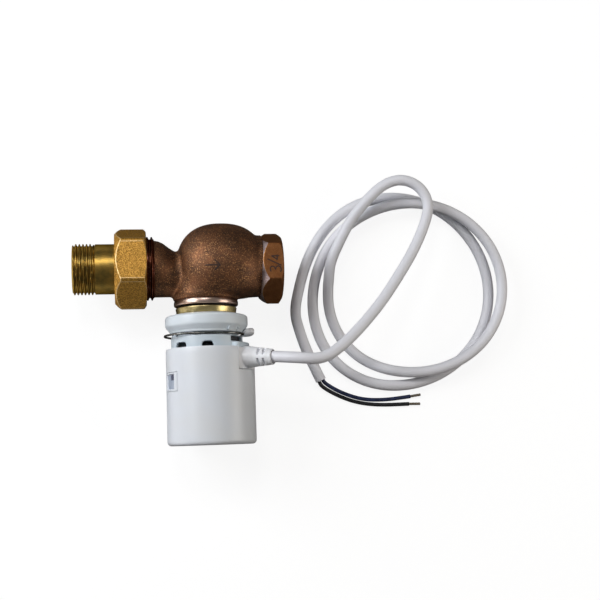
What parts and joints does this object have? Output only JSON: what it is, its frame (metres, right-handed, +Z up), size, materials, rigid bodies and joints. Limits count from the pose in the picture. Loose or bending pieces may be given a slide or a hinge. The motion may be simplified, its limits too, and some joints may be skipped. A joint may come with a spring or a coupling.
{
  "type": "thermoelectric valve",
  "caption": "Bronze globe valve with union tail and pipe-threaded hexagon end, and a white wax actuator under its bonnet with a coiled two-core cord.",
  "frame": {"origin": "under the middle of the valve and actuator, on the surface that they lie on", "axes": "+X along the pipe from the union tail to the hexagon end, +Y along the spindle from the actuator to the valve, +Z up"},
  "size_m": [0.2373, 0.1429, 0.0506],
  "materials": {
    "cast_bronze": "sand cast, dark, with machined faces",
    "nut_brass": "raw brass with dark faces",
    "yellow_brass": "turned",
    "steel": "turned",
    "spring_steel": "drawn wire",
    "white_plastic": "moulded, satin",
    "grey_plastic": "moulded, glass filled",
    "black_plastic": "moulded",
    "clear_lens": "clear moulding",
    "black_rubber": "moulded",
    "ceramic_grey": "fired",
    "cord_white": "soft jacket",
    "core_blue": "soft insulation",
    "core_black": "soft insulation",
    "tinned_copper": "tinned strands"
  },
  "bodies": {
    "valve": {"valve_body": "cast_bronze", "seat_ring": "steel", "union_gasket": "black_rubber", "tailpiece": "yellow_brass", "bonnet": "yellow_brass", "bonnet_seal": "black_rubber", "gland_nut": "yellow_brass", "gland_seal": "black_rubber"},
    "union": {"union_nut": "nut_brass"},
    "spindle_set": {"spindle": "steel", "valve_disc": "yellow_brass", "disc_seal": "black_rubber", "disc_nut": "yellow_brass", "spring_collar": "yellow_brass", "return_spring": "spring_steel"},
    "ring": {"coupling_ring": "white_plastic"},
    "actuator": {"actuator_base": "white_plastic", "actuator_housing": "white_plastic", "indicator_lens": "clear_lens", "bridge": "steel", "bridge_screws": "steel", "wax_piston": "steel", "spring_cap": "steel", "main_spring": "spring_steel", "cable_boot": "white_plastic", "cable_clamp": "grey_plastic", "terminal_tabs": "steel", "cord_lead": "cord_white", "cord_coil": "cord_white", "cord_tail": "cord_white", "core_blue": "core_blue", "core_black": "core_black", "core_tips": "tinned_copper"},
    "clip": {"wire_clip": "spring_steel", "clip_button": "white_plastic"},
    "plunger": {"plunger_yoke": "grey_plastic", "element_carrier": "grey_plastic", "wax_element": "yellow_brass", "heater_disc": "ceramic_grey", "contact_spring": "spring_steel", "indicator_flag": "black_plastic"}
  },
  "joints": [
    {"name": "union_nut_turn", "type": "hinge", "parent": "valve", "child": "union", "pos_m": [-0.02375, 0.0343, 0.0234], "axis": [1, 0, 0], "continuous": true},
    {"name": "coupling_ring_turn", "type": "hinge", "parent": "valve", "child": "ring", "pos_m": [0.01425, 0.0063, 0.0234], "axis": [0, 1, 0], "continuous": true},
    {"name": "actuator_swivel", "type": "hinge", "parent": "valve", "child": "actuator", "pos_m": [0.01425, -0.0037, 0.0234], "axis": [0, 1, 0], "range_deg": [-90, 90]},
    {"name": "clip_pull", "type": "slide", "parent": "actuator", "child": "clip", "axis": [1, 0, 0], "range_m": [0, 0.0027], "stiffness_N_per_m": 500},
    {"name": "plunger_travel", "type": "slide", "parent": "actuator", "child": "plunger", "axis": [0, -1, 0], "range_m": [0, 0.004], "stiffness_N_per_m": 800, "springref_m": -0.02, "deforming": ["main_spring"]},
    {"name": "spindle_travel", "type": "slide", "parent": "valve", "child": "spindle_set", "axis": [0, -1, 0], "range_m": [0, 0.004], "deforming": ["return_spring"]}
  ],
  "couplings": [
    {"joint": "spindle_travel", "follows": "plunger_travel", "ratio": 1}
  ]
}
